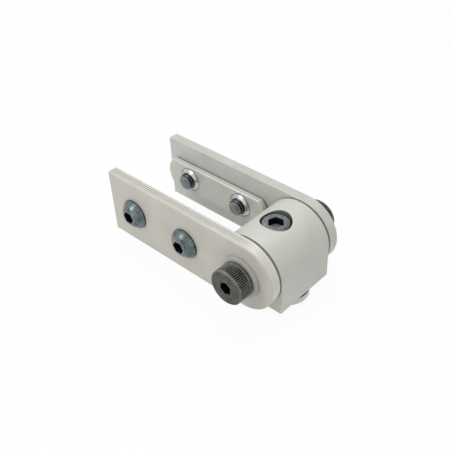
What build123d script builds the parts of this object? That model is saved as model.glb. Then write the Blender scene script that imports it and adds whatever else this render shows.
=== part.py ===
from build123d import *
import os

# Profile pivot joint for 25.4 mm (1 inch) T-slot framing.
# Origin: centre of the block's base face. +Z away from the base, -X along the arms, Y along the pivot.
# Front is the -Y side, rear the +Y side. All sizes in millimetres.

# Driving sizes
MODULE = 25.4                     # side of the framing profile, and the hole spacing
PIVOT_Z = MODULE / 2              # pivot axis above the base
BLOCK_WIDTH = 24.8                # block, along the pivot
THRUST_THICK = 0.85               # washer between block and arm
ARM_THICK = 4.0
HEAD_WASHER_THICK = 1.25

# Sideways positions, measured from the middle plane
BLOCK_FACE = BLOCK_WIDTH / 2
ARM_INNER = BLOCK_FACE + THRUST_THICK
ARM_OUTER = ARM_INNER + ARM_THICK
HEAD_SEAT = ARM_OUTER + HEAD_WASHER_THICK

# Edges
EDGE_BREAK = 0.35                 # arms and block
BLOCK_FOOT_R = 0.6                # block's lower edges along the pivot
NUT_EDGE_BREAK = 0.25
WASHER_EDGE_BREAK = 0.2

# Quarter inch screws
THREAD_R = 3.12                   # screw, over the thread crests
TAPPED_R = 3.175                  # tapped hole
CLEARANCE_R = 3.45                # plain hole
SCREW_END_CHAMFER = 0.7
ARM_SCREW = dict(head_r=5.55, head_h=3.35, rim_h=0.45, flat_r=2.78, hex_af=3.97, socket=2.2, length=9.53)
BASE_SCREW = dict(head_r=4.76, head_h=6.35, chamfer=0.4, hex_af=4.76, socket=3.2, length=22.23)
BASE_HEAD_DROP = 1.3              # head's top below the block's crown
BASE_SEAT_Z = MODULE - BASE_HEAD_DROP - BASE_SCREW["head_h"]
COUNTERBORE_R = 5.3

# Shoulder screws and what turns on them
SHOULDER_R = 3.96
PIVOT_SCREW = dict(head_r=6.35, head_h=6.2, chamfer=0.5, hex_af=3.97, socket=3.4)
PIVOT_THREAD_LENGTH = 8.0         # neck included
PIVOT_NECK_R = 2.5
PIVOT_NECK_LENGTH = 1.3
PIVOT_HOLE_SPARE = 0.4            # tapped hole below the screw's end
BUSH_BORE_R = 4.0
BUSH_R = 4.98
ARM_BORE_R = 5.0
HEAD_WASHER_R = 7.85
THRUST_WASHER_R = 12.3            # just inside the arms' round ends
WASHER_BORE_R = 4.1

# T-nuts
NUT_WIDTH = 11.4
NUT_THICK = 2.6
NUT_END_R = 7.55                  # rounded ends, seen on the flat
NUT_COLLAR_R = 3.8                # at its free end
NUT_COLLAR_BASE_R = 4.8           # where it flares into the bar
NUT_COLLAR_H = 1.05
DOUBLE_NUT_LENGTH = 48.4
SINGLE_NUT_LENGTH = 25.8


def disc(radius, bottom, height):
    """Plain cylinder on the Z axis, standing on z = bottom."""
    return Pos(0, 0, bottom + height / 2) * Cylinder(radius, height)


def hex_socket(size, turn):
    """Hexagonal socket with its drilled cone end, cut down from the head's top."""
    corner_r = size["hex_af"] / 3 ** 0.5
    prism = extrude(RegularPolygon(corner_r, 6), -size["socket"])
    drill_r = size["hex_af"] / 2
    cone_h = drill_r / 2
    cone = Pos(0, 0, -size["socket"] - cone_h / 2) * Cone(0, drill_r, cone_h)
    return Pos(0, 0, size["head_h"]) * Rot(0, 0, turn) * (prism + cone)


def shank(start, length):
    """Threaded shank from z = start down, plain over its crests, with the screw's chamfered end."""
    body = disc(THREAD_R, start - length, length)
    return chamfer(body.edges().sort_by(Axis.Z)[0], SCREW_END_CHAMFER)


def cylinder_head(size):
    """Cylindrical head on z = 0, its top edge chamfered."""
    head = disc(size["head_r"], 0, size["head_h"])
    return chamfer(head.edges().sort_by(Axis.Z)[-1], size["chamfer"])


def button_screw(turn):
    """Button-head screw, seat at z = 0, head up. The dome runs from the rim to the flat top."""
    size = ARM_SCREW
    rise = size["head_h"] - size["rim_h"]
    middle = (size["head_h"] + size["rim_h"]) / 2
    centre_z = middle - (size["head_r"] ** 2 - size["flat_r"] ** 2) / (2 * rise)
    dome_r = ((size["head_h"] - centre_z) ** 2 + size["flat_r"] ** 2) ** 0.5
    head = disc(size["head_r"], 0, size["head_h"]) & Pos(0, 0, centre_z) * Sphere(dome_r)
    return head + shank(0, size["length"]) - hex_socket(size, turn)


def cap_screw(turn):
    """Socket cap screw, seat at z = 0, head up."""
    size = BASE_SCREW
    return cylinder_head(size) + shank(0, size["length"]) - hex_socket(size, turn)


def shoulder_screw(turn):
    """Shoulder screw, head's seat at z = 0, head up, threaded end down."""
    shoulder_end = BLOCK_FACE - HEAD_SEAT
    neck_end = shoulder_end - PIVOT_NECK_LENGTH
    screw = cylinder_head(PIVOT_SCREW) + disc(SHOULDER_R, shoulder_end, -shoulder_end)
    screw += disc(PIVOT_NECK_R, neck_end, PIVOT_NECK_LENGTH)
    screw += shank(neck_end, PIVOT_THREAD_LENGTH - PIVOT_NECK_LENGTH)
    return screw - hex_socket(PIVOT_SCREW, turn)


def ring(outer_r, bore_r, thick, edge_break=0):
    """Washer or bush, standing on z = 0."""
    blank = disc(outer_r, 0, thick)
    if edge_break:
        blank = chamfer(blank.edges(), edge_break)
    return blank - disc(bore_r, 0, thick)


def t_nut(length, hole_xs):
    """T-nut bar with bowed ends, seat face at z = 0, formed collars pointing down."""
    half_w = NUT_WIDTH / 2
    bow = NUT_END_R - (NUT_END_R ** 2 - half_w ** 2) ** 0.5
    straight_x = length / 2 - bow
    sides = [Line((-straight_x, half_w), (straight_x, half_w)),
             Line((straight_x, -half_w), (-straight_x, -half_w))]
    ends = [ThreePointArc((sign * straight_x, sign * half_w), (sign * length / 2, 0),
                          (sign * straight_x, -sign * half_w)) for sign in (1, -1)]
    nut = extrude(make_face([*sides, *ends]), -NUT_THICK)
    nut = chamfer(nut.faces().sort_by(Axis.Z)[0].edges(), NUT_EDGE_BREAK)
    collar_z = -NUT_THICK - NUT_COLLAR_H / 2
    for x in hole_xs:
        nut += Pos(x, 0, collar_z) * Cone(NUT_COLLAR_R, NUT_COLLAR_BASE_R, NUT_COLLAR_H)
    height = NUT_THICK + NUT_COLLAR_H
    for x in hole_xs:
        nut -= Pos(x, 0, 0) * disc(TAPPED_R, -height, height)
    return nut


def arm_plate():
    """Arm, outer face at z = 0 and material below; pivot at the origin, free end at -X."""
    half, free_x = MODULE / 2, -2.5 * MODULE
    outline = (Line((0, half), (free_x, half)) + Line((free_x, half), (free_x, -half))
               + Line((free_x, -half), (0, -half)) + ThreePointArc((0, -half), (half, 0), (0, half)))
    plate = extrude(make_face(outline.edges()), -ARM_THICK)
    faces = plate.faces().sort_by(Axis.Z)
    plate = chamfer(faces[0].edges() + faces[-1].edges(), EDGE_BREAK)
    plate -= disc(ARM_BORE_R, -ARM_THICK, ARM_THICK)
    for step in (1, 2):
        plate -= Pos(-step * MODULE, 0, 0) * disc(CLEARANCE_R, -ARM_THICK, ARM_THICK)
    return plate


def pivot_block():
    """D-section block: round over the pivot, square below, with its counterbored and tapped holes."""
    half = MODULE / 2
    outline = (Line((half, PIVOT_Z), (half, 0)) + Line((half, 0), (-half, 0))
               + Line((-half, 0), (-half, PIVOT_Z))
               + ThreePointArc((-half, PIVOT_Z), (0, PIVOT_Z + half), (half, PIVOT_Z)))
    block = extrude(Plane.XZ * make_face(outline.edges()), BLOCK_FACE, both=True)
    block = fillet(block.edges().filter_by(Axis.Y).group_by(Axis.Z)[0], BLOCK_FOOT_R)
    faces = block.faces().sort_by(Axis.Y)
    block = chamfer(faces[0].edges() + faces[-1].edges(), EDGE_BREAK)
    block -= disc(COUNTERBORE_R, BASE_SEAT_Z, MODULE)
    block -= disc(CLEARANCE_R, 0, BASE_SEAT_Z)
    depth = PIVOT_THREAD_LENGTH + PIVOT_HOLE_SPARE
    for side in (-1, 1):
        block -= beside(side, 0, BLOCK_FACE) * disc(TAPPED_R, -depth, depth)
    return block


def beside(side, x, distance):
    """Placement on one side: local +Z points outwards, local XY lies in the arm's plane."""
    return Pos(x, side * distance, PIVOT_Z) * Rot(-90 * side, 0, 0)


parts = {"pivot_block": pivot_block(),
         "base_screw": Pos(0, 0, BASE_SEAT_Z) * cap_screw(10),
         "base_t_nut": t_nut(SINGLE_NUT_LENGTH, [0])}

for name, side in (("front", -1), ("rear", 1)):
    parts[f"{name}_pivot_screw"] = beside(side, 0, HEAD_SEAT) * shoulder_screw(35 * side)
    head_washer = ring(HEAD_WASHER_R, WASHER_BORE_R, HEAD_WASHER_THICK, WASHER_EDGE_BREAK)
    parts[f"{name}_head_washer"] = beside(side, 0, ARM_OUTER) * head_washer
    thrust_washer = ring(THRUST_WASHER_R, WASHER_BORE_R, THRUST_THICK)
    parts[f"{name}_thrust_washer"] = beside(side, 0, BLOCK_FACE) * thrust_washer
    parts[f"{name}_bush"] = beside(side, 0, ARM_INNER) * ring(BUSH_R, BUSH_BORE_R, ARM_THICK)
    parts[f"{name}_arm"] = beside(side, 0, ARM_OUTER) * arm_plate()
    arm_nut = t_nut(DOUBLE_NUT_LENGTH, [-MODULE / 2, MODULE / 2])
    parts[f"{name}_t_nut"] = beside(side, -1.5 * MODULE, ARM_INNER) * arm_nut
    for place, step in (("inner", 1), ("outer", 2)):
        parts[f"{name}_{place}_arm_screw"] = beside(side, -step * MODULE, ARM_OUTER) * button_screw(0)

os.makedirs("parts", exist_ok=True)
for node, solid in parts.items():
    solid.label = node
    export_step(solid, f"parts/{node}.step")
    print(node, round(solid.volume, 1), solid.bounding_box())
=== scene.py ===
import bpy
import bmesh
import math
from mathutils import Matrix, Vector
from mathutils.geometry import tessellate_polygon


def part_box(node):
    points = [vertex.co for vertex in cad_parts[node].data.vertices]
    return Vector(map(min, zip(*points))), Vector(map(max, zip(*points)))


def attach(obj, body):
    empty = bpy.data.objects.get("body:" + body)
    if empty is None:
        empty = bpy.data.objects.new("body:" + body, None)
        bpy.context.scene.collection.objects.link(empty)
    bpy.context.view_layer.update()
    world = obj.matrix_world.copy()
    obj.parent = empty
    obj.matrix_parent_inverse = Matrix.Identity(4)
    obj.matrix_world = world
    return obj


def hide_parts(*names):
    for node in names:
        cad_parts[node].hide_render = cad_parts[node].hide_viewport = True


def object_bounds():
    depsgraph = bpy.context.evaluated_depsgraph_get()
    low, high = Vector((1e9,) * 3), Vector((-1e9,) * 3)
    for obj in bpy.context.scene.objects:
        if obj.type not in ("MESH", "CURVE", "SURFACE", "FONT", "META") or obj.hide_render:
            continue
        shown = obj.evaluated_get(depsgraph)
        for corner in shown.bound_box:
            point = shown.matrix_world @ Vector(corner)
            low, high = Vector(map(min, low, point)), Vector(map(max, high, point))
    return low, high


# Profile pivot joint: two flat arms that swing on a round-topped block.
# Meshes are drawn in millimetres and placed with the matrices below, which bring them to metres.
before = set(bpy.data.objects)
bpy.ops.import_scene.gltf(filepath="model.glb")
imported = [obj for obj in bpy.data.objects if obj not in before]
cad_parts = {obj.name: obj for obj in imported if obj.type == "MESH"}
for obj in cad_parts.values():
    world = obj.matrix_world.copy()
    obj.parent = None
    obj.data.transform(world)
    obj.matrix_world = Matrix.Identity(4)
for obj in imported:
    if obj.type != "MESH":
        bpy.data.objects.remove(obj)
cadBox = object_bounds()
mm = 0.001
sides = {"front": -1, "rear": 1}


def boxInMm(node):
    low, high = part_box(node)
    return low / mm, high / mm


# places and main sizes, read from the frame
blockHigh = boxInMm("pivot_block")[1]
armLow, armHigh = boxInMm("rear_arm")
washerLow, washerHigh = boxInMm("rear_head_washer")
pivotLow, pivotHigh = boxInMm("rear_pivot_screw")
nutLow, nutHigh = boxInMm("rear_t_nut")
baseNutLow, baseNutHigh = boxInMm("base_t_nut")
innerLow, innerHigh = boxInMm("rear_inner_arm_screw")
outerLow, outerHigh = boxInMm("rear_outer_arm_screw")
baseLow, baseHigh = boxInMm("base_screw")
pivotZ = (pivotLow.z + pivotHigh.z) / 2
innerHoleX = (innerLow.x + innerHigh.x) / 2
outerHoleX = (outerLow.x + outerHigh.x) / 2
nutX = (nutLow.x + nutHigh.x) / 2
toMetres = Matrix.Scale(mm, 4)


def turned(degrees, axis="Z"):
    return Matrix.Rotation(math.radians(degrees), 4, axis)


def beside(side, x, distance):
    # local +Z points away from the block on that side, local X stays X
    place = Matrix.Translation(Vector((x, side * distance, pivotZ)) * mm)
    return place @ turned(-90 * side, "X") @ toMetres


print("frame read:", len(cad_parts), "nodes")


# outlines and meshes; these values are shared by all of them
holeSteps = 64  # faces round a drilled hole
flatNormal = 0.9999  # a face this square to its axis is shaded flat
weld = dict(mesh=0.0001, piece=0.001)  # vertices closer than this are joined, in mm
# chamfers: radius of their corners, its largest share of the chamfer, and how far they go down the wall
edgeBreak = dict(soften=0.12, largestShare=0.6, lead=0.3, steps=3)
# a socket's floor: radii and depth of the drill's cone as shares of the width across flats, coneDrop in mm
socketEnd = dict(drill=0.46, cone=0.4, coneDrop=0.15, tip=0.22)


def roundCorners(points, closed=False, steps=4):
    # points are (a, b) or (a, b, radius); a corner with a radius becomes an arc
    path = []
    for i, (a, b, *rest) in enumerate(points):
        atEnd = not closed and i in (0, len(points) - 1)
        if atEnd or not rest:
            path.append((a, b))
            continue
        radius, here = rest[0], Vector((a, b))
        before = (Vector(points[i - 1][:2]) - here).normalized()
        after = (Vector(points[(i + 1) % len(points)][:2]) - here).normalized()
        half = before.angle(after) / 2
        centre = here + (before + after).normalized() * radius / math.sin(half)
        start = here + before * radius / math.tan(half) - centre
        end = here + after * radius / math.tan(half) - centre
        turn = math.atan2(start.x * end.y - start.y * end.x, start.dot(end))
        first = math.atan2(start.y, start.x)
        for k in range(steps + 1):
            angle = first + turn * k / steps
            path.append((centre.x + radius * math.cos(angle), centre.y + radius * math.sin(angle)))
    return path


def edgeProfile(size):
    # across a chamfered edge as (inset, depth), from the flat face to a short way down the wall
    soften = min(edgeBreak["soften"], size * edgeBreak["largestShare"])
    path = roundCorners([(size + 1, 0), (size, 0, soften), (0, size, soften), (0, size + edgeBreak["lead"])],
                        steps=edgeBreak["steps"])
    return path[1:]


def arcPoints(centreX, centreY, radius, startDegrees, endDegrees, steps):
    angles = [math.radians(startDegrees + (endDegrees - startDegrees) * k / steps) for k in range(steps + 1)]
    return [(centreX + radius * math.cos(a), centreY + radius * math.sin(a)) for a in angles]


def insetLoop(loop, distance, smallestMitre=0.2):
    # moves a closed outline to its left by a distance, corners mitred
    result = []
    for i, here in enumerate(loop):
        here = Vector(here)
        before = (here - Vector(loop[i - 1])).normalized()
        after = (Vector(loop[(i + 1) % len(loop)]) - here).normalized()
        normalBefore, normalAfter = Vector((-before.y, before.x)), Vector((-after.y, after.x))
        mitre = normalBefore + normalAfter
        result.append(tuple(here + mitre * distance / max(mitre.dot(normalBefore), smallestMitre)))
    return result


def bridge(bm, low, high, closed=True):
    # faces between two rows of vertices; a row of one vertex is a pole
    faces = []
    count = max(len(low), len(high))
    for i in range(count if closed else count - 1):
        j = (i + 1) % count
        corners = [low[i % len(low)], low[j % len(low)], high[j % len(high)], high[i % len(high)]]
        faces.append(bm.faces.new(list(dict.fromkeys(corners))))
    return faces


def bridgeRows(bm, rows, closed=True):
    return [face for low, high in zip(rows, rows[1:]) for face in bridge(bm, low, high, closed)]


def fillFlat(bm, loops):
    # a flat face with holes, as triangles between existing loops of vertices
    everyVertex = [v for loop in loops for v in loop]
    for corners in tessellate_polygon([[v.co for v in loop] for loop in loops]):
        face = [everyVertex[c] for c in corners]
        if len(set(face)) == 3 and not bm.faces.get(face):
            bm.faces.new(face)


def addObject(name, data):
    item = bpy.data.objects.new(name, data)
    bpy.context.scene.collection.objects.link(item)
    return item


def finishMesh(bm, name):
    bmesh.ops.remove_doubles(bm, verts=bm.verts, dist=weld["mesh"])
    bmesh.ops.recalc_face_normals(bm, faces=bm.faces)
    mesh = bpy.data.meshes.new(name)
    bm.to_mesh(mesh)
    bm.free()
    return mesh


def turnedMesh(name, rings, around=96, closed=False):
    # rings are (radius, z) from one end to the other; a third number is the material from there on
    bm = bmesh.new()
    rows, slots = [], []
    for radius, z, *rest in rings:
        slots.append(rest[0] if rest else slots[-1] if slots else 0)
        if radius == 0:
            rows.append([bm.verts.new((0, 0, z))])
            continue
        row = []
        for k in range(around):
            angle = math.tau * k / around
            r = radius(angle) if callable(radius) else radius
            row.append(bm.verts.new((r * math.cos(angle), r * math.sin(angle), z)))
        rows.append(row)
    for low, high, slot in zip(rows, rows[1:] + rows[:1] if closed else rows[1:], slots):
        for face in bridge(bm, low, high):
            face.material_index = slot
    bm.normal_update()
    for face in bm.faces:
        face.smooth = abs(face.normal.z) < flatNormal
    return finishMesh(bm, name)


def plateMesh(name, outline, holes, top, bottom, topEdge, bottomEdge, wallFrom=0):
    # flat plate between two heights, outline counterclockwise, holes as (x, y, radius)
    # its outside is material 1 from row wallFrom of the edge profiles on
    # the UV map of the outside is in mm: along the outline, and down from z = 0
    profile = [(inset, top - depth) for inset, depth in edgeProfile(topEdge)]
    profile += [(inset, bottom + depth) for inset, depth in reversed(edgeProfile(bottomEdge))]
    loops = [outline] + [list(reversed(arcPoints(x, y, r, 0, 360, holeSteps)[:-1])) for x, y, r in holes]
    along = [0]
    for here, after in zip(outline, outline[1:] + outline[:1]):
        along.append(along[-1] + math.dist(here, after))
    bm = bmesh.new()
    edgeMap = bm.loops.layers.uv.new("edge")
    tops, bottoms = [], []
    for number, loop in enumerate(loops):
        rows = [[bm.verts.new((x, y, z)) for x, y in insetLoop(loop, inset)] for inset, z in profile]
        for k in range(len(rows) - 1):
            faces = bridge(bm, rows[k], rows[k + 1])
            upper, lower = -profile[k][1], -profile[k + 1][1]
            for i, face in enumerate(faces if number == 0 else []):
                face.material_index = 1 if k >= wallFrom else 0
                corners = ((along[i], upper), (along[i + 1], upper), (along[i + 1], lower), (along[i], lower))
                for corner, place in zip(face.loops, corners):
                    corner[edgeMap].uv = place
        tops.append(rows[0])
        bottoms.append(rows[-1])
    for face in bm.faces:
        face.smooth = True
    fillFlat(bm, tops)
    fillFlat(bm, bottoms)
    return finishMesh(bm, name)


def hexRing(acrossFlats):
    # radius of a hexagon at an angle, a corner at angle 0
    return lambda angle: acrossFlats / 2 / math.cos(angle % (math.pi / 3) - math.pi / 6)


def socketRings(size, top, wallSlot, floorSlot):
    # from the flat of a head down into its hexagonal socket and the drill's cone under it
    across, floor = size["hexFlats"], top - size["socketDepth"]
    return [(hexRing(size["leadFlats"]), top, wallSlot), (hexRing(across), top - size["leadDepth"]),
            (hexRing(across), floor, floorSlot), (across * socketEnd["drill"], floor),
            (across * socketEnd["cone"], floor - socketEnd["coneDrop"]),
            (0, floor - across * socketEnd["tip"])]


def newPiece(name, parts, body, nodes, sharpDegrees=32):
    # parts are (mesh, matrix, materials) and become one mesh in the frame's own place
    # a slot is made for each material that a face uses
    bm = bmesh.new()
    slots = []
    for mesh, matrix, materials in parts:
        copy = mesh.copy()
        copy.transform(matrix)
        first = len(bm.faces)
        bm.from_mesh(copy)
        bm.faces.ensure_lookup_table()
        for face in bm.faces[first:]:
            material = materials[min(face.material_index, len(materials) - 1)]
            if material not in slots:
                slots.append(material)
            face.material_index = slots.index(material)
        bpy.data.meshes.remove(copy)
    bmesh.ops.remove_doubles(bm, verts=bm.verts, dist=weld["piece"] * mm)
    bmesh.ops.recalc_face_normals(bm, faces=bm.faces)
    mesh = bpy.data.meshes.new(name)
    bm.to_mesh(mesh)
    bm.free()
    mesh.set_sharp_from_angle(angle=math.radians(sharpDegrees))
    for material in slots:
        mesh.materials.append(material)
    piece = addObject(name, mesh)
    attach(piece, body)
    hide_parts(*nodes)
    print(name, len(mesh.polygons), "faces")


# small helpers for node trees
def addNode(tree, kind, inputs=None, **settings):
    node = tree.nodes.new(kind)
    for key, value in settings.items():
        setattr(node, key, value)
    for key, value in (inputs or {}).items():
        if isinstance(value, bpy.types.NodeSocket):
            tree.links.new(value, node.inputs[key])
        else:
            node.inputs[key].default_value = value
    return node


def calc(tree, operation, *values, **settings):
    settings["operation"] = operation
    return addNode(tree, "ShaderNodeMath", dict(enumerate(values)), **settings).outputs[0]


def blendColour(tree, share, first, second):
    return addNode(tree, "ShaderNodeMix", {0: share, 6: first, 7: second}, data_type="RGBA").outputs[2]


def newTree(name, kind, inputs, outputs):
    # inputs and outputs are {name: default}, or the socket's kind as a word where there is no default
    tree = bpy.data.node_groups.new(name, kind)
    for way, sockets in (("INPUT", inputs), ("OUTPUT", outputs)):
        for label, value in sockets.items():
            word = value if isinstance(value, str) else type(value).__name__.title()
            socket = tree.interface.new_socket(name=label, in_out=way, socket_type=f"NodeSocket{word}")
            if value != word:
                socket.default_value = value
    start = tree.nodes.new("NodeGroupInput")
    end = tree.nodes.new("NodeGroupOutput")
    return tree, start.outputs, end.inputs


def meshFromTree(name, tree, values):
    # runs a geometry tree once and gives back its plain mesh
    carrier = addObject(name, bpy.data.meshes.new(name))
    modifier = carrier.modifiers.new(name, "NODES")
    modifier.node_group = tree
    for item in tree.interface.items_tree:
        if item.item_type == "SOCKET" and item.in_out == "INPUT" and item.name in values:
            modifier[item.identifier] = values[item.name]
    depsgraph = bpy.context.evaluated_depsgraph_get()
    mesh = bpy.data.meshes.new_from_object(carrier.evaluated_get(depsgraph))
    bpy.data.objects.remove(carrier)
    return mesh


# shader groups
def makeSpeckle():
    # fine speckle with a slow drift of tone over it
    tree, given, result = newTree("speckle", "ShaderNodeTree", {
        "Vector": "Vector", "Grain size mm": 0.2, "Drift size mm": 8.0, "Drift share": 0.3, "Spread": 0.2},
        {"Value": "Float", "Grain": "Float"})
    grainScale = calc(tree, "DIVIDE", 1000.0, given["Grain size mm"])
    driftScale = calc(tree, "DIVIDE", 1000.0, given["Drift size mm"])
    grain, drift = (addNode(tree, "ShaderNodeTexNoise", {
        "Vector": given["Vector"], "Scale": scale, "Detail": detail}).outputs[0]
        for scale, detail in ((grainScale, 2.0), (driftScale, 1.0)))
    mixed = addNode(tree, "ShaderNodeMix", {0: given["Drift share"], 2: grain, 3: drift})
    spread = addNode(tree, "ShaderNodeMapRange", {
        "Value": mixed.outputs[0], "From Min": calc(tree, "SUBTRACT", 0.5, given["Spread"]),
        "From Max": calc(tree, "ADD", 0.5, given["Spread"])})
    tree.links.new(spread.outputs[0], result["Value"])
    tree.links.new(grain, result["Grain"])
    return tree


def makeEdgeMarks():
    # cutter marks on an edge, from its map in mm: marks across it, and rows of them within a band
    tree, given, result = newTree("edgeMarks", "ShaderNodeTree", {
        "Vector": "Vector", "Mark pitch mm": 0.9, "Row pitch mm": 0.85, "Row share": 0.5, "First mm": 0.9,
        "Last mm": 3.4}, {"Value": "Float"})
    contrast, cut, fade, lead = 1.7, -0.55, 4.0, 0.8
    place = addNode(tree, "ShaderNodeSeparateXYZ", {0: given["Vector"]})
    depth = place.outputs["Y"]
    pastFirst = calc(tree, "SUBTRACT", depth, given["First mm"])
    toLast = calc(tree, "SUBTRACT", given["Last mm"], depth)
    markTurn = calc(tree, "DIVIDE", place.outputs["X"], given["Mark pitch mm"])
    markTurn = calc(tree, "MULTIPLY", markTurn, math.tau)
    rowTurn = calc(tree, "DIVIDE", pastFirst, given["Row pitch mm"])
    rowTurn = calc(tree, "MULTIPLY", rowTurn, math.tau)
    marks = calc(tree, "MULTIPLY_ADD", calc(tree, "COSINE", markTurn), 0.5, 0.5)
    rows = calc(tree, "MULTIPLY_ADD", calc(tree, "COSINE", rowTurn), 0.5, 0.5)
    both = addNode(tree, "ShaderNodeMix", {0: given["Row share"], 2: marks, 3: rows}).outputs[0]
    both = calc(tree, "MULTIPLY_ADD", both, contrast, cut, use_clamp=True)
    after = calc(tree, "MULTIPLY_ADD", pastFirst, fade, lead, use_clamp=True)
    before = calc(tree, "MULTIPLY_ADD", toLast, fade, lead, use_clamp=True)
    tree.links.new(calc(tree, "MULTIPLY", both, calc(tree, "MULTIPLY", after, before)), result["Value"])
    return tree


def makeGrooveShade():
    # dirt and shade in the hollows of threads and knurls
    tree, given, result = newTree("grooveShade", "ShaderNodeTree", {
        "Colour": "Color", "Deep colour": "Color", "Hollow": 0.0, "Full at": 0.6}, {"Colour": "Color"})
    share = addNode(tree, "ShaderNodeMapRange", {"Value": given["Hollow"], "From Max": given["Full at"]})
    mix = blendColour(tree, share.outputs[0], given["Colour"], given["Deep colour"])
    tree.links.new(mix, result["Colour"])
    return tree


speckle, edgeMarks, grooveShade = makeSpeckle(), makeEdgeMarks(), makeGrooveShade()
print("shader groups ready")


# finishes: every one is speckled between a dark and a light tone, with its grain as a bump
# grain is the fine speckle and drift the slow change of tone; deep is the colour of dirt and painted shade in
# grooves, reached at the share fullAt of their depth, and specular lowers the shine
plainGrain = dict(grainMm=0.3, driftMm=3.0, driftShare=0.4, spread=0.2, bump=0.2)
satin = dict(roughness=0.5, metallic=0.1, grainMm=0.25, driftMm=9.0, driftShare=0.35, spread=0.22, bump=0.25)
finishes = dict(
    anodised=dict(satin, light=(0.541, 0.523, 0.464), dark=(0.425, 0.41, 0.362)),
    # a lighter copy of the arms' anodising: painted light for the rear arm
    litRearAnodised=dict(satin, light=(0.59, 0.597, 0.56), dark=(0.465, 0.47, 0.44)),
    blockAnodised=dict(satin, light=(0.565, 0.57, 0.52), dark=(0.45, 0.455, 0.41)),
    cutEdge=dict(plainGrain, light=(0.66, 0.655, 0.60), dark=(0.54, 0.535, 0.485), roughness=0.45,
                 metallic=0.15, grainMm=0.25, driftMm=5.0, driftShare=0.45),
    plainEdge=dict(plainGrain, light=(0.53, 0.53, 0.49), dark=(0.43, 0.43, 0.395), roughness=0.45,
                   metallic=0.15, grainMm=0.25, driftMm=6.0, driftShare=0.5),
    nutCut=dict(plainGrain, light=(0.70, 0.70, 0.65), dark=(0.60, 0.60, 0.56), roughness=0.42, metallic=0.2,
                driftMm=7.0, driftShare=0.5, bump=0.15),
    # painted shade in the counterbore, its screw hole and the tapped holes
    paintedBoreShade=dict(plainGrain, light=(0.30, 0.30, 0.28), dark=(0.14, 0.14, 0.13), roughness=0.35,
                  metallic=0.6),
    nutSteel=dict(plainGrain, light=(0.60, 0.60, 0.56), dark=(0.50, 0.50, 0.465), roughness=0.45,
                  metallic=0.2, driftMm=7.0, driftShare=0.5, bump=0.15),
    brightCollar=dict(plainGrain, light=(0.66, 0.67, 0.66), dark=(0.42, 0.43, 0.425), roughness=0.26,
                      metallic=0.8, grainMm=0.4, driftMm=2.0, driftShare=0.5),
    washerSteel=dict(plainGrain, light=(0.475, 0.467, 0.425), dark=(0.375, 0.368, 0.335), roughness=0.55,
                     metallic=0.2, grainMm=0.25, driftMm=5.0, driftShare=0.5),
    zincFlat=dict(plainGrain, light=(0.31, 0.345, 0.355), dark=(0.09, 0.105, 0.11), roughness=0.45,
                  metallic=0.45, grainMm=0.36, driftMm=2.4, spread=0.14, bump=0.4, specular=0.3),
    # a darker copy of the zinc: painted shade on the button heads' domes
    shadedZincDome=dict(plainGrain, light=(0.21, 0.26, 0.265), dark=(0.03, 0.04, 0.043), roughness=0.32,
                  metallic=0.45, grainMm=0.34, driftMm=2.8, driftShare=0.3, spread=0.12, bump=0.5,
                  specular=0.25),
    zincCap=dict(plainGrain, light=(0.20, 0.225, 0.235), dark=(0.055, 0.062, 0.066), roughness=0.42,
                 metallic=0.55, grainMm=0.38, driftMm=2.6, spread=0.14, bump=0.4),
    # painted shade: near-black for the sockets, the band under the button heads, the sheet in the nuts' gap
    # and the grooves round their collars
    darkShade=dict(plainGrain, light=(0.006, 0.006, 0.006), dark=(0.003, 0.003, 0.003), roughness=0.9,
                   metallic=0.0, driftMm=2.0, driftShare=0.3, bump=0.1, specular=0.08),
    socketFloor=dict(plainGrain, light=(0.16, 0.175, 0.185), dark=(0.07, 0.08, 0.085), roughness=0.5,
                     metallic=0.3, driftMm=2.0, driftShare=0.3),
    acetal=dict(plainGrain, light=(0.14, 0.145, 0.125), dark=(0.10, 0.103, 0.09), roughness=0.6, metallic=0.0,
                driftMm=4.0, bump=0.15),
    bronze=dict(plainGrain, light=(0.50, 0.34, 0.17), dark=(0.36, 0.24, 0.12), roughness=0.38, metallic=0.9),
    # its grooves are darkened with dirt and painted shade
    threadSteel=dict(plainGrain, light=(0.16, 0.18, 0.19), dark=(0.06, 0.07, 0.075), roughness=0.35,
                     metallic=0.8, grainMm=0.35, driftMm=2.0, deep=(0.008, 0.008, 0.009)),
    blackOxide=dict(plainGrain, light=(0.105, 0.103, 0.094), dark=(0.03, 0.03, 0.027), roughness=0.5,
                    metallic=0.2, grainMm=0.42, driftShare=0.3, spread=0.12, bump=0.4, specular=0.3),
    # lighter than the face as painted light on the ridges; its hollows are darkened with dirt and painted
    # shade
    knurlOxide=dict(plainGrain, light=(0.285, 0.283, 0.257), dark=(0.06, 0.06, 0.054), roughness=0.5,
                    metallic=0.1, grainMm=0.5, driftMm=2.5, driftShare=0.5, spread=0.13, bump=0.3,
                    specular=0.35, fullAt=0.5, deep=(0.006, 0.006, 0.0055)),
    # painted highlight on the pivot heads' chamfer
    paintedRimHighlight=dict(plainGrain, light=(0.16, 0.158, 0.145), dark=(0.055, 0.055, 0.05), roughness=0.45,
                 metallic=0.2, grainMm=0.4, driftShare=0.35, spread=0.18, bump=0.3),
)
# marks on machined edges, in mm: pitches, the band they lie in, how strongly they show, and the fade along X
frontEdgeMarks = dict(pitch=0.9, rowPitch=0.85, rowShare=0.5, first=0.95, last=3.3, share=0.9,
                      colour=(0.07, 0.07, 0.065), fadeFrom=-2.0, fadeTo=5.0, fadeLeft=0.15)
rearEdgeMarks = dict(pitch=1.1, rowPitch=0.85, rowShare=0.15, first=0.5, last=3.6, share=0.12,
                     colour=(0.30, 0.30, 0.28), fadeFrom=-2.0, fadeTo=5.0, fadeLeft=0.8)
nutEdgeMarks = dict(pitch=0.6, rowPitch=0.9, rowShare=0.1, first=0.2, last=2.5, share=0.5,
                    colour=(0.30, 0.30, 0.28), fadeFrom=0.0, fadeTo=1.0, fadeLeft=1.0)


reliefMm = 0.03  # how high the bumps stand at full strength


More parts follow.
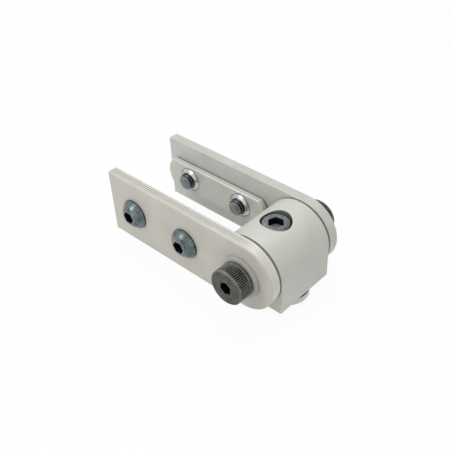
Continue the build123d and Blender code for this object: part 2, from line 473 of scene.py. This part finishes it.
def makeMaterial(name, finish, marks=None):
    look = finishes[finish]
    material = bpy.data.materials.new(name)
    material.use_nodes = True
    tree = material.node_tree
    shader = tree.nodes["Principled BSDF"]
    shader.inputs["Roughness"].default_value = look["roughness"]
    shader.inputs["Metallic"].default_value = look["metallic"]
    shader.inputs["Specular IOR Level"].default_value = look.get("specular", 0.5)
    place = tree.nodes.new("ShaderNodeTexCoord").outputs["Object"]
    tone = addNode(tree, "ShaderNodeGroup", {
        "Vector": place, "Grain size mm": look["grainMm"], "Drift size mm": look["driftMm"],
        "Drift share": look["driftShare"], "Spread": look["spread"]}, node_tree=speckle).outputs
    colour = blendColour(tree, tone["Value"], (*look["dark"], 1), (*look["light"], 1))
    height = tone["Grain"]
    if marks:
        edgeMap = addNode(tree, "ShaderNodeUVMap", uv_map="edge").outputs[0]
        mask = addNode(tree, "ShaderNodeGroup", {
            "Vector": edgeMap, "Mark pitch mm": marks["pitch"], "Row pitch mm": marks["rowPitch"],
            "Row share": marks["rowShare"], "First mm": marks["first"], "Last mm": marks["last"]},
            node_tree=edgeMarks).outputs[0]
        along = addNode(tree, "ShaderNodeSeparateXYZ", {0: place}).outputs["X"]
        fade = addNode(tree, "ShaderNodeMapRange", {
            "Value": along, "From Min": marks["fadeFrom"] * mm, "From Max": marks["fadeTo"] * mm,
            "To Min": marks["share"], "To Max": marks["share"] * marks["fadeLeft"]}).outputs[0]
        mask = calc(tree, "MULTIPLY", mask, fade)
        colour = blendColour(tree, mask, colour, (*marks["colour"], 1))
        height = calc(tree, "SUBTRACT", height, mask)
    if "deep" in look:
        hollow = addNode(tree, "ShaderNodeAttribute", attribute_name="hollow").outputs["Fac"]
        colour = addNode(tree, "ShaderNodeGroup", {
            "Colour": colour, "Deep colour": (*look["deep"], 1), "Hollow": hollow,
            "Full at": look.get("fullAt", 0.6)}, node_tree=grooveShade).outputs[0]
    tree.links.new(colour, shader.inputs["Base Color"])
    relief = addNode(tree, "ShaderNodeBump", {
        "Height": height, "Strength": look["bump"], "Distance": reliefMm * mm})
    tree.links.new(relief.outputs[0], shader.inputs["Normal"])
    return material


frontEdge = makeMaterial("frontArmEdge", "cutEdge", frontEdgeMarks)
rearEdge = makeMaterial("rearArmEdge", "plainEdge", rearEdgeMarks)
nutEdge = makeMaterial("nutEdge", "nutCut", nutEdgeMarks)
plain = {finish: makeMaterial(finish, finish) for finish in finishes
         if finish not in ("cutEdge", "plainEdge", "nutCut")}
print("materials ready")


# geometry trees: the thread and the knurl, both grids rolled round the Z axis
# their ridges are a zigzag made steeper by slope and flattened by cut; fade is how fast a knurl sets in
threadSection = dict(slope=1.3, cut=-0.15)
knurlSection = dict(slope=1.6, cut=-0.35, fade=9.0)
treeWeld = 0.002  # mm


def endTree(tree, geometry, material, result, endMaterial=None, endFaces=None):
    merged = addNode(tree, "GeometryNodeMergeByDistance", {"Geometry": geometry, "Distance": treeWeld})
    smooth = addNode(tree, "GeometryNodeSetShadeSmooth", {"Geometry": merged.outputs[0]})
    real = addNode(tree, "GeometryNodeRealizeInstances", {"Geometry": smooth.outputs[0]})
    painted = addNode(tree, "GeometryNodeSetMaterial", {"Geometry": real.outputs[0], "Material": material})
    if endFaces:
        painted = addNode(tree, "GeometryNodeSetMaterial", {
            "Geometry": painted.outputs[0], "Material": endMaterial, "Selection": endFaces})
    tree.links.new(painted.outputs[0], result["Geometry"])
    return tree


def splitPosition(tree):
    position = tree.nodes.new("GeometryNodeInputPosition").outputs[0]
    return addNode(tree, "ShaderNodeSeparateXYZ", {0: position}).outputs


def wrapGrid(tree, columns, rows):
    # a grid to roll round the Z axis: its vertices with the way round and the way along, both 0 to 1
    grid = addNode(tree, "GeometryNodeMeshGrid", {
        "Size X": 1.0, "Size Y": 1.0, "Vertices X": columns, "Vertices Y": rows})
    place = splitPosition(tree)
    return grid.outputs[0], calc(tree, "ADD", place["X"], 0.5), calc(tree, "ADD", place["Y"], 0.5)


def rollUp(tree, grid, turn, radius, height, hollow):
    # keeps how deep each vertex lies as an attribute for the material, then rolls the grid up
    marked = addNode(tree, "GeometryNodeStoreNamedAttribute", {
        "Geometry": grid, "Name": "hollow", "Value": hollow}).outputs[0]
    angle = calc(tree, "MULTIPLY", turn, math.tau)
    shape = addNode(tree, "ShaderNodeCombineXYZ", {
        "X": calc(tree, "MULTIPLY", radius, calc(tree, "COSINE", angle)),
        "Y": calc(tree, "MULTIPLY", radius, calc(tree, "SINE", angle)), "Z": height})
    return addNode(tree, "GeometryNodeSetPosition", {"Geometry": marked, "Position": shape.outputs[0]})


def makeThreadTree():
    # a helical thread on a shank from z = 0 down, with a plain start and a chamfered end
    tree, given, result = newTree("rolledThread", "GeometryNodeTree", {
        "Crest Radius": 3.12, "Depth": 0.6, "Pitch": 1.27, "Length": 9.5, "Plain start": 0.8, "Point": 0.7,
        "Around": 48, "Rows": 60, "Material": "Material", "End Material": "Material"},
        {"Geometry": "Geometry"})
    grid, turn, share = wrapGrid(tree, calc(tree, "ADD", given["Around"], 1.0), given["Rows"])
    along = calc(tree, "MULTIPLY", share, given["Length"])
    phase = calc(tree, "FRACT", calc(tree, "ADD", calc(tree, "DIVIDE", along, given["Pitch"]), turn))
    wave = calc(tree, "ABSOLUTE", calc(tree, "MULTIPLY_ADD", phase, 2.0, -1.0))
    flank = calc(tree, "MULTIPLY_ADD", wave, threadSection["slope"], threadSection["cut"], use_clamp=True)
    started = calc(tree, "DIVIDE", along, given["Plain start"], use_clamp=True)
    hollow = calc(tree, "MULTIPLY", flank, started)
    radius = calc(tree, "SUBTRACT", given["Crest Radius"], calc(tree, "MULTIPLY", hollow, given["Depth"]))
    toEnd = calc(tree, "SUBTRACT", given["Length"], along)
    endRadius = calc(tree, "SUBTRACT", given["Crest Radius"], given["Point"])
    radius = calc(tree, "MINIMUM", radius, calc(tree, "ADD", endRadius, toEnd))
    wrapped = rollUp(tree, grid, turn, radius, calc(tree, "MULTIPLY", along, -1.0), hollow)
    joined = tree.nodes.new("GeometryNodeJoinGeometry")
    tree.links.new(wrapped.outputs[0], joined.inputs[0])
    low = calc(tree, "MULTIPLY", given["Length"], -1.0)
    for capRadius, height in ((given["Crest Radius"], 0.0), (endRadius, low)):
        cap = addNode(tree, "GeometryNodeMeshCircle", {"Vertices": given["Around"], "Radius": capRadius},
                      fill_type="NGON")
        drop = addNode(tree, "ShaderNodeCombineXYZ", {"Z": height})
        moved = addNode(tree, "GeometryNodeTransform", {
            "Geometry": cap.outputs[0], "Translation": drop.outputs[0]})
        tree.links.new(moved.outputs[0], joined.inputs[0])
    aboveEnd = calc(tree, "SUBTRACT", splitPosition(tree)["Z"], low)
    isEnd = addNode(tree, "FunctionNodeCompare", {0: aboveEnd, 1: given["Point"]}, operation="LESS_THAN")
    return endTree(tree, joined.outputs[0], given["Material"], result, given["End Material"],
                   isEnd.outputs[0])


def makeKnurlTree():
    # a straight knurled band round the Z axis, its ridges dying out towards both ends
    tree, given, result = newTree("straightKnurl", "GeometryNodeTree", {
        "Radius": 6.35, "Depth": 0.3, "Start": 0.8, "End": 4.8, "Ridges": 48, "Columns per ridge": 6,
        "Rows": 10, "Material": "Material"}, {"Geometry": "Geometry"})
    columns = calc(tree, "MULTIPLY_ADD", given["Ridges"], given["Columns per ridge"], 1.0)
    grid, turn, share = wrapGrid(tree, columns, given["Rows"])
    phase = calc(tree, "FRACT", calc(tree, "MULTIPLY", turn, given["Ridges"]))
    wave = calc(tree, "ABSOLUTE", calc(tree, "MULTIPLY_ADD", phase, 2.0, -1.0))
    valley = calc(tree, "MULTIPLY_ADD", wave, knurlSection["slope"], knurlSection["cut"], use_clamp=True)
    fade = calc(tree, "MULTIPLY", calc(tree, "PINGPONG", share, 0.5), knurlSection["fade"], use_clamp=True)
    hollow = calc(tree, "MULTIPLY", valley, fade)
    radius = calc(tree, "SUBTRACT", given["Radius"], calc(tree, "MULTIPLY", hollow, given["Depth"]))
    length = calc(tree, "SUBTRACT", given["End"], given["Start"])
    height = calc(tree, "MULTIPLY_ADD", share, length, given["Start"])
    wrapped = rollUp(tree, grid, turn, radius, height, hollow)
    return endTree(tree, wrapped.outputs[0], given["Material"], result)


threadTree = makeThreadTree()
knurlTree = makeKnurlTree()
quarterInchThread = dict(crest=3.12, pitch=1.27, depth=0.62, point=0.45, around=48, rowsPerTurn=10)


def threadPart(name, place, length, material, endMaterial):
    size = quarterInchThread
    mesh = meshFromTree(name, threadTree, {
        "Crest Radius": size["crest"], "Depth": size["depth"], "Pitch": size["pitch"], "Length": length,
        "Point": size["point"], "Around": size["around"],
        "Rows": int(length / size["pitch"] * size["rowsPerTurn"]),
        "Material": plain[material], "End Material": plain[endMaterial]})
    return (mesh, place, list(mesh.materials))


print("thread and knurl trees ready")


armShape = dict(outerEdge=0.3, innerEdge=0.1, bore=5.0, screwHole=3.45, cornerRound=0.25, roundSteps=48)


def makeArm(name, side):
    shape = armShape
    half = (armHigh.z - armLow.z) / 2
    outline = roundCorners([(armLow.x, -half, shape["cornerRound"]),
                            *arcPoints(0, 0, half, -90, 90, shape["roundSteps"]),
                            (armLow.x, half, shape["cornerRound"])], closed=True)
    holes = [(0, 0, shape["bore"]), (innerHoleX, 0, shape["screwHole"]), (outerHoleX, 0, shape["screwHole"])]
    plate = plateMesh(f"{name}Plate", outline, holes, 0, armLow.y - armHigh.y, shape["outerEdge"],
                      shape["innerEdge"], wallFrom=len(edgeProfile(shape["outerEdge"])) - 1)
    face, edge = (plain["anodised"], frontEdge) if side < 0 else (plain["litRearAnodised"], rearEdge)
    parts = [(plate, beside(side, 0, armHigh.y), [face, edge])]
    newPiece(f"{name}Arm", parts, f"{name}_arm", [f"{name}_arm"])


for name, side in sides.items():
    makeArm(name, side)


blockShape = dict(edge=0.1, baseRound=0.6, counterbore=5.3, counterboreRim=0.15, seat=17.75, seatRound=0.15,
                  screwHole=3.45, tapped=3.175, tappedDepth=8.4, holeChamfer=0.2, patchDegrees=45,
                  sharpDegrees=40, sideSteps=24, patchRings=8, crownSteps=12, roundSteps=4, baseSteps=8,
                  brightSteps=2)  # the rim's first steps have the crown's finish


def crownPoint(u, y, half):
    # a point of the crown, u being the way along its arc from the top
    return (half * math.sin(u / half), y, half + half * math.cos(u / half))


def makeBlock():
    shape = blockShape
    half, halfWidth, steps = blockHigh.x, blockHigh.y, shape["sideSteps"]
    chamfer = shape["holeChamfer"]
    rim = edgeProfile(shape["edge"])
    yEnd = halfWidth - rim[-1][1]
    uEnd = half * math.radians(shape["patchDegrees"])
    bm = bmesh.new()
    # rings of the crown's patch, from the counterbore's rim out to a rectangle
    spread = [math.tan(-math.pi / 4 + math.pi / 2 / steps * k) for k in range(steps)]
    border = ([(1, s) for s in spread] + [(-s, 1) for s in spread] + [(-1, -s) for s in spread]
              + [(s, -1) for s in spread])
    angles = [math.atan2(b, a) for a, b in border]
    mouth = shape["counterbore"] + shape["counterboreRim"]
    rows = []
    for share in [k / shape["patchRings"] for k in range(shape["patchRings"] + 1)]:
        row = []
        for (a, b), angle in zip(border, angles):
            holeU = half * math.asin(mouth * math.cos(angle) / half)
            holeY = mouth * math.sin(angle)
            u = holeU + (a * uEnd - holeU) * share
            y = holeY + (b * yEnd - holeY) * share
            row.append(bm.verts.new(crownPoint(u, y, half)))
        rows.append(row)
    bridgeRows(bm, rows)
    # the counterbore's rounded rim follows the crown, then its wall, seat and the screw hole go down
    holeRows = [rows[0]]
    bends = [math.pi / 2 * k / shape["roundSteps"] for k in range(1, shape["roundSteps"] + 1)]
    for bend in bends:
        radius = mouth - shape["counterboreRim"] * math.sin(bend)
        drop = shape["counterboreRim"] * (1 - math.cos(bend))
        holeRows.append([bm.verts.new((radius * math.cos(angle), radius * math.sin(angle),
                                       half + math.sqrt(half ** 2 - (radius * math.cos(angle)) ** 2) - drop))
                         for angle in angles])
    hole, seat, seatRound = shape["screwHole"], shape["seat"], shape["seatRound"]
    for radius, z in ((shape["counterbore"], seat), (hole + seatRound, seat), (hole, seat - seatRound),
                      (hole, chamfer), (hole + chamfer, 0)):
        holeRows.append([bm.verts.new((radius * math.cos(angle), radius * math.sin(angle), z))
                         for angle in angles])
    brightSteps = shape["brightSteps"]
    bridgeRows(bm, holeRows[:brightSteps + 1])
    # the rest of the rim, the wall, seat and screw hole are material 1: painted shade
    for face in bridgeRows(bm, holeRows[brightSteps:]):
        face.material_index = 1
    # the flanks, from the patch's straight sides down round the base's rounded edges
    ys = [s * yEnd for s in spread] + [yEnd]
    radius = shape["baseRound"]
    fromTop, crownSteps = shape["patchDegrees"], shape["crownSteps"]
    arc = [(half * math.sin(a), half + half * math.cos(a))
           for a in [math.radians(fromTop + (90 - fromTop) * k / crownSteps) for k in range(crownSteps + 1)]]
    straight = [(half, half + (radius - half) * k / len(bends)) for k in range(1, len(bends) + 1)]
    foot = [(half - radius + radius * math.cos(a), radius - radius * math.sin(a)) for a in bends]
    flank = arc + straight + foot
    for sign in (-1, 1):
        flankRows = [[bm.verts.new((sign * x, y, z)) for y in ys] for x, z in flank]
        bridgeRows(bm, flankRows, closed=False)
    # side faces: the edge from the crown's outline into a flat with the tapped hole
    crown = [(half * math.sin(s * uEnd / half), half + half * math.cos(s * uEnd / half)) for s in spread[1:]]
    baseSteps = shape["baseSteps"]
    base = [(-(half - radius) + 2 * (half - radius) * k / baseSteps, 0) for k in range(1, baseSteps)]
    outline = ([(-x, z) for x, z in flank] + base + [(x, z) for x, z in reversed(flank)]
               + [(-x, z) for x, z in crown])
    baseLoops = []
    for sign in (-1, 1):
        rimRows = [[bm.verts.new((x, sign * (halfWidth - depth), z)) for x, z in insetLoop(outline, inset)]
                   for inset, depth in reversed(rim)]
        bridgeRows(bm, rimRows)
        tappedRows = []
        for boreRadius, depth in ((shape["tapped"] + chamfer, 0), (shape["tapped"], chamfer),
                                  (shape["tapped"], shape["tappedDepth"])):
            tappedRows.append([bm.verts.new((x, sign * (halfWidth - depth), z))
                               for x, z in arcPoints(0, half, boreRadius, 0, 360, holeSteps)[:-1]])
        # the tapped holes are material 1: painted shade
        for face in bridgeRows(bm, tappedRows) + [bm.faces.new(tappedRows[-1])]:
            face.material_index = 1
        fillFlat(bm, [rimRows[-1], tappedRows[0]])
        baseLoops.append([v for v in rimRows[0] if v.co.z < weld["mesh"]])
    corners = sorted(baseLoops[0], key=lambda v: v.co.x) + sorted(baseLoops[1], key=lambda v: -v.co.x)
    rightEdge = [bm.verts.new((half - radius, y, 0)) for y in ys[1:-1]]
    leftEdge = [bm.verts.new((-(half - radius), y, 0)) for y in reversed(ys[1:-1])]
    count = len(baseLoops[0])
    fillFlat(bm, [corners[:count] + rightEdge + corners[count:] + leftEdge, holeRows[-1]])
    bm.normal_update()
    squarer = 1 - (1 - flatNormal) / 10  # the flanks run on smoothly from the crown
    for face in bm.faces:
        normal = face.normal
        flat = abs(normal.y) > flatNormal or abs(normal.z) > flatNormal or abs(normal.x) > squarer
        face.smooth = not flat or face.calc_center_median().z > 2 * half - chamfer
    mesh = finishMesh(bm, "blockBody")
    newPiece("pivotBlock", [(mesh, toMetres, [plain["blockAnodised"], plain["paintedBoreShade"]])], "block",
             ["pivot_block"], shape["sharpDegrees"])


makeBlock()


# T-nuts: a bar with a bright formed collar at each hole, standing on a thin sheet of painted shade in the gap
nutShape = dict(endRadius=7.55, endSteps=16, seatEdge=0.12, edge=0.22, thickness=2.6, gap=0.42, gapInset=0.3,
                gapEdge=0.05, recess=4.56, collarBottom=3.78, collarTop=4.5, collarStart=0.4, rim=0.2,
                foot=0.25, rise=0.1, flare=2.2, flareSteps=8, bore=3.2, lip=0.15, grooveDepth=0.06)


def nutOutline(length, halfWidth):
    endRadius = nutShape["endRadius"]
    reach = math.degrees(math.asin(halfWidth / endRadius))
    right = arcPoints(length / 2 - endRadius, 0, endRadius, -reach, reach, nutShape["endSteps"])
    return right + [(-x, -y) for x, y in right]


def collarMesh(name, depth):
    # pressed into the bar and flaring towards it; the fine groove round it is material 1, painted with shade
    shape = nutShape
    top, groove, bottom = -shape["thickness"], -shape["thickness"] + shape["grooveDepth"], -depth
    low, high = bottom + shape["foot"], top + shape["rise"]
    narrow, wide = shape["collarBottom"], shape["collarTop"]
    bore, start = shape["bore"], -shape["collarStart"]
    flare = [(narrow + (wide - narrow) * s ** shape["flare"], low + (high - low) * s)
             for s in [k / shape["flareSteps"] for k in range(shape["flareSteps"] + 1)]]
    rings = [(bore, start), (bore, bottom + shape["lip"]), (bore + shape["lip"], bottom),
             (narrow - shape["rim"], bottom), *flare, (wide, groove, 1), (shape["recess"], groove),
             (shape["recess"], start)]
    return turnedMesh(name, rings, around=holeSteps, closed=True)


def makeNut(name, place, length, halfWidth, depth, holeXs, body, node):
    shape = nutShape
    outline = nutOutline(length, halfWidth)
    holes = [(x, 0, shape["recess"]) for x in holeXs]
    bar = plateMesh(f"{name}Bar", outline, holes, -shape["gap"], -shape["thickness"], shape["seatEdge"],
                    shape["edge"])
    gap = plateMesh(f"{name}Gap", insetLoop(outline, shape["gapInset"]), holes, 0, -shape["thickness"] / 2,
                    shape["gapEdge"], shape["gapEdge"])
    collar = collarMesh(f"{name}Collar", depth)
    # the sheet in the gap and the grooves round the collars are painted with shade
    parts = [(bar, place, [plain["nutSteel"], nutEdge]), (gap, place, [plain["darkShade"]])]
    parts += [(collar, place @ Matrix.Translation((x, 0, 0)), [plain["brightCollar"], plain["darkShade"]])
              for x in holeXs]
    newPiece(name, parts, body, [node])


nutDepth = nutHigh.y - nutLow.y
nutHalfWidth = (nutHigh.z - nutLow.z) / 2
for name, side in sides.items():
    makeNut(f"{name}SlotNut", beside(side, nutX, nutHigh.y), nutHigh.x - nutLow.x, nutHalfWidth, nutDepth,
            [innerHoleX - nutX, outerHoleX - nutX], f"{name}_arm", f"{name}_t_nut")
makeNut("baseSlotNut", toMetres, baseNutHigh.x - baseNutLow.x, baseNutHigh.y, -baseNutLow.z, [0], "block",
        "base_t_nut")


armScrew = dict(headRadius=5.55, headHeight=3.35, rimHeight=0.45, flatRadius=2.78, seatInset=0.25,
                seatRise=0.2, domeSteps=12, hexFlats=3.97, leadFlats=4.3, leadDepth=0.14, socketDepth=2.2,
                innerTurn=0, outerTurn=0)


def makeArmScrews(name, side):
    size = armScrew
    top, rim, flat, steps = size["headHeight"], size["rimHeight"], size["flatRadius"], size["domeSteps"]
    centre = (top + rim) / 2 - (size["headRadius"] ** 2 - flat ** 2) / (2 * (top - rim))
    domeRadius = math.hypot(flat, top - centre)
    start, end = math.asin(size["headRadius"] / domeRadius), math.asin(flat / domeRadius)
    dome = [(domeRadius * math.sin(a), centre + domeRadius * math.cos(a))
            for a in [start + (end - start) * k / steps for k in range(steps + 1)]]
    # under the rim the head is painted with shade: the washer face and the band above it; the dome is a
    # darker copy of the flat's zinc, painted shade, and the socket is painted with shade
    rings = [(0, 0, 2), (size["headRadius"] - size["seatInset"], 0), (size["headRadius"], size["seatRise"]),
             (*dome[0], 1), *dome[1:-1], (*dome[-1], 0), *socketRings(size, top, 2, 2)]
    head = turnedMesh(f"{name}ArmScrewHead", rings)
    parts = []
    for x, turn in ((innerHoleX, size["innerTurn"]), (outerHoleX, size["outerTurn"])):
        place = beside(side, x, armHigh.y) @ turned(turn)
        thread = threadPart(f"{name}ArmScrewThread", place, armHigh.y - innerLow.y, "threadSteel", "zincFlat")
        parts += [(head, place, [plain[key] for key in ("zincFlat", "shadedZincDome", "darkShade")]), thread]
    newPiece(f"{name}ArmScrews", parts, f"{name}_arm", [f"{name}_inner_arm_screw", f"{name}_outer_arm_screw"])


knurlGrid = dict(columns=6, rows=14)  # columns for each ridge


def cylinderHead(name, place, size, finishKeys):
    # cylindrical head from z = 0 up: plain band, knurl, plain band, chamfer, flat face and socket
    # the keys are the finishes of the knurl, chamfer, face and foot, socket wall and socket floor
    radius, top, foot = size["headRadius"], size["headHeight"], size["footChamfer"]
    around = size["ridges"] * knurlGrid["columns"]
    materials = [plain[key] for key in finishKeys]
    under = turnedMesh(f"{name}Under", [(0, 0, 2), (radius - foot, 0), (radius, foot),
                                        (radius, size["knurlStart"])], around)
    chamfer = size["chamfer"]
    upper = turnedMesh(f"{name}Upper", [(radius, size["knurlEnd"]), (radius, top - chamfer, 1),
                                        (radius - chamfer, top, 2), *socketRings(size, top, 3, 4)], around)
    knurl = meshFromTree(f"{name}Knurl", knurlTree, {
        "Radius": radius, "Depth": size["knurlDepth"], "Start": size["knurlStart"], "End": size["knurlEnd"],
        "Ridges": size["ridges"], "Columns per ridge": knurlGrid["columns"], "Rows": knurlGrid["rows"],
        "Material": materials[0]})
    return [(under, place, materials), (upper, place, materials), (knurl, place, list(knurl.materials))]


pivotScrew = dict(headRadius=6.35, headHeight=6.2, chamfer=0.4, footChamfer=0.2, knurlStart=1.0,
                  knurlEnd=5.65, knurlDepth=0.42, ridges=54, hexFlats=3.97, leadFlats=4.2, leadDepth=0.1,
                  socketDepth=3.4, socketTurn=35, shoulderRadius=3.96, shoulderChamfer=0.3, neckRadius=2.5,
                  neckLength=1.3, threadLength=6.7, overlap=0.1)


def makePivotScrew(name, side):
    size = pivotScrew
    shoulder = washerHigh.y - blockHigh.y
    place = beside(side, 0, washerHigh.y)
    radius, chamfer, overlap = size["shoulderRadius"], size["shoulderChamfer"], size["overlap"]
    neckEnd = -shoulder - size["neckLength"]
    rings = [(0, overlap), (radius, overlap), (radius, -shoulder + chamfer), (radius - chamfer, -shoulder),
             (size["neckRadius"], -shoulder), (size["neckRadius"], neckEnd - overlap), (0, neckEnd - overlap)]
    body = turnedMesh(f"{name}Shoulder", rings)
    lower = place @ Matrix.Translation((0, 0, neckEnd))
    # the socket is painted with shade
    parts = cylinderHead(f"{name}Pivot", place @ turned(size["socketTurn"] * side), size,
                         # the chamfer is a painted highlight and the socket is painted with shade
                         ["knurlOxide", "paintedRimHighlight", "blackOxide", "darkShade", "darkShade"])
    parts += [(body, place, [plain["blackOxide"]]),
              threadPart(f"{name}PivotThread", lower, size["threadLength"], "threadSteel", "blackOxide")]
    newPiece(f"{name}PivotScrew", parts, "block", [f"{name}_pivot_screw"])


baseScrew = dict(headRadius=4.76, headHeight=6.35, chamfer=0.3, footChamfer=0.2, knurlStart=0.8, knurlEnd=5.2,
                 knurlDepth=0.2, ridges=44, hexFlats=4.76, leadFlats=5.0, leadDepth=0.12, socketDepth=2.5,
                 socketTurn=10)


def makeBaseScrew():
    size = baseScrew
    seat = baseHigh.z - size["headHeight"]
    place = Matrix.Translation((0, 0, seat * mm)) @ toMetres
    # the socket's wall is painted with shade
    parts = cylinderHead("base", place @ turned(size["socketTurn"]), size,
                         ["zincCap", "zincCap", "zincCap", "darkShade", "socketFloor"])
    parts.append(threadPart("baseThread", place, seat - baseLow.z, "threadSteel", "zincFlat"))
    newPiece("baseScrew", parts, "block", ["base_screw"])


for name, side in sides.items():
    makeArmScrews(name, side)
    makePivotScrew(name, side)
makeBaseScrew()


# the thrust washers nearly fill the gap between block and arm
headWasher = dict(radius=7.6, edge=0.12, bore=4.1, boreEdge=0.05, finish="washerSteel")
thrustWasher = dict(radius=12.62, edge=0.06, bore=4.1, boreEdge=0.05, finish="acetal")


def makeWasher(name, node, size, side, low, high):
    thick = high - low
    corners = [(size["bore"], 0, size["boreEdge"]), (size["radius"], 0, size["edge"]),
               (size["radius"], thick, size["edge"]), (size["bore"], thick, size["boreEdge"])]
    ring = turnedMesh(f"{name}Ring", roundCorners(corners, closed=True), closed=True)
    newPiece(name, [(ring, beside(side, 0, low), [plain[size["finish"]]])], "block", [node])


for name, side in sides.items():
    makeWasher(f"{name}HeadWasher", f"{name}_head_washer", headWasher, side, washerLow.y, washerHigh.y)
    makeWasher(f"{name}ThrustWasher", f"{name}_thrust_washer", thrustWasher, side, blockHigh.y, armLow.y)
    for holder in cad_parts[f"{name}_bush"].material_slots:
        holder.material = plain["bronze"]
print("washers and bushes ready")


# angles in degrees, lens and sensor in mm; distance and aim are in mm from the pivot axis; clip is in metres
camera = dict(azimuth=44.351, elevation=38.432, roll=-2.641, lens=54.072, sensor=36, distance=224.668,
              aimRight=-16.834, aimUp=8.08, clip=(0.01, 20))


def makeCamera():
    a, e, roll = (math.radians(camera[key]) for key in ("azimuth", "elevation", "roll"))
    back = Vector((math.sin(a) * math.cos(e), -math.cos(a) * math.cos(e), math.sin(e)))
    right = Vector((0, 0, 1)).cross(back).normalized()
    up = back.cross(right)
    right, up = right * math.cos(roll) + up * math.sin(roll), up * math.cos(roll) - right * math.sin(roll)
    place = Vector((0, 0, pivotZ)) + right * camera["aimRight"] + up * camera["aimUp"]
    place += back * camera["distance"]
    data = bpy.data.cameras.new("camera")
    data.lens, data.sensor_width = camera["lens"], camera["sensor"]
    data.clip_start, data.clip_end = camera["clip"]
    view = addObject("camera", data)
    view.matrix_world = Matrix.Translation(place * mm) @ Matrix((right, up, back)).transposed().to_4x4()
    bpy.context.scene.camera = view


def whiteForEye(tree, shader, share):
    # the camera, and reflections, see white through the surface by this share
    path = tree.nodes.new("ShaderNodeLightPath")
    seen = calc(tree, "MAXIMUM", path.outputs["Is Camera Ray"], path.outputs["Is Glossy Ray"])
    seen = calc(tree, "MAXIMUM", seen, path.outputs["Is Transmission Ray"])
    white = addNode(tree, "ShaderNodeEmission", {"Color": (1, 1, 1, 1), "Strength": 1.0})
    mix = addNode(tree, "ShaderNodeMixShader", {0: calc(tree, "MULTIPLY", seen, share), 1: shader,
                                                2: white.outputs[0]})
    return mix.outputs[0]


# the floor's size is in metres, its drop below the object in mm; floorWhite is how white the camera sees it
# lamps are (place in metres, power in watts, width in metres), aimed at the origin
studio = dict(floorSize=4.0, floorDrop=0.05, floorTone=0.8, floorRoughness=0.9, floorWhite=0.94, world=0.62)
lamps = dict(topLamp=((-0.05, 0.12, 0.5), 1.1, 0.35), keyLamp=((-0.24, -0.42, 0.36), 1.1, 0.22),
             fillLamp=((0.45, -0.3, 0.2), 0.25, 0.5))


def makeFloor():
    z = cadBox[0].z - studio["floorDrop"] * mm
    reach = studio["floorSize"] / 2
    mesh = bpy.data.meshes.new("floor")
    mesh.from_pydata([(-reach, -reach, z), (reach, -reach, z), (reach, reach, z), (-reach, reach, z)], [],
                     [(0, 1, 2, 3)])
    material = bpy.data.materials.new("floor")
    material.use_nodes = True
    tree = material.node_tree
    shader = tree.nodes["Principled BSDF"]
    shader.inputs["Base Color"].default_value = (*[studio["floorTone"]] * 3, 1)
    shader.inputs["Roughness"].default_value = studio["floorRoughness"]
    output = tree.nodes["Material Output"]
    tree.links.new(whiteForEye(tree, shader.outputs[0], studio["floorWhite"]), output.inputs["Surface"])
    mesh.materials.append(material)
    floor = addObject("floor", mesh)


def makeLamp(name, place, power, size):
    data = bpy.data.lights.new(name, "AREA")
    data.shape, data.size, data.energy = "DISK", size, power
    lamp = addObject(name, data)
    lamp.location = place
    lamp.rotation_mode = "QUATERNION"
    lamp.rotation_quaternion = (-Vector(place)).to_track_quat("-Z", "Y")


def makeWorld():
    world = bpy.data.worlds.new("studio")
    bpy.context.scene.world = world
    world.use_nodes = True
    tree = world.node_tree
    background = tree.nodes["Background"]
    background.inputs["Color"].default_value = (1, 1, 1, 1)
    background.inputs["Strength"].default_value = studio["world"]
    output = tree.nodes["World Output"]
    tree.links.new(whiteForEye(tree, background.outputs[0], 1.0), output.inputs["Surface"])


makeCamera()
makeFloor()
makeWorld()
for name, (place, power, size) in lamps.items():
    makeLamp(name, place, power, size)
bpy.context.scene.view_settings.view_transform = "Standard"
print("camera, floor and light ready")

bpy.context.view_layer.update()
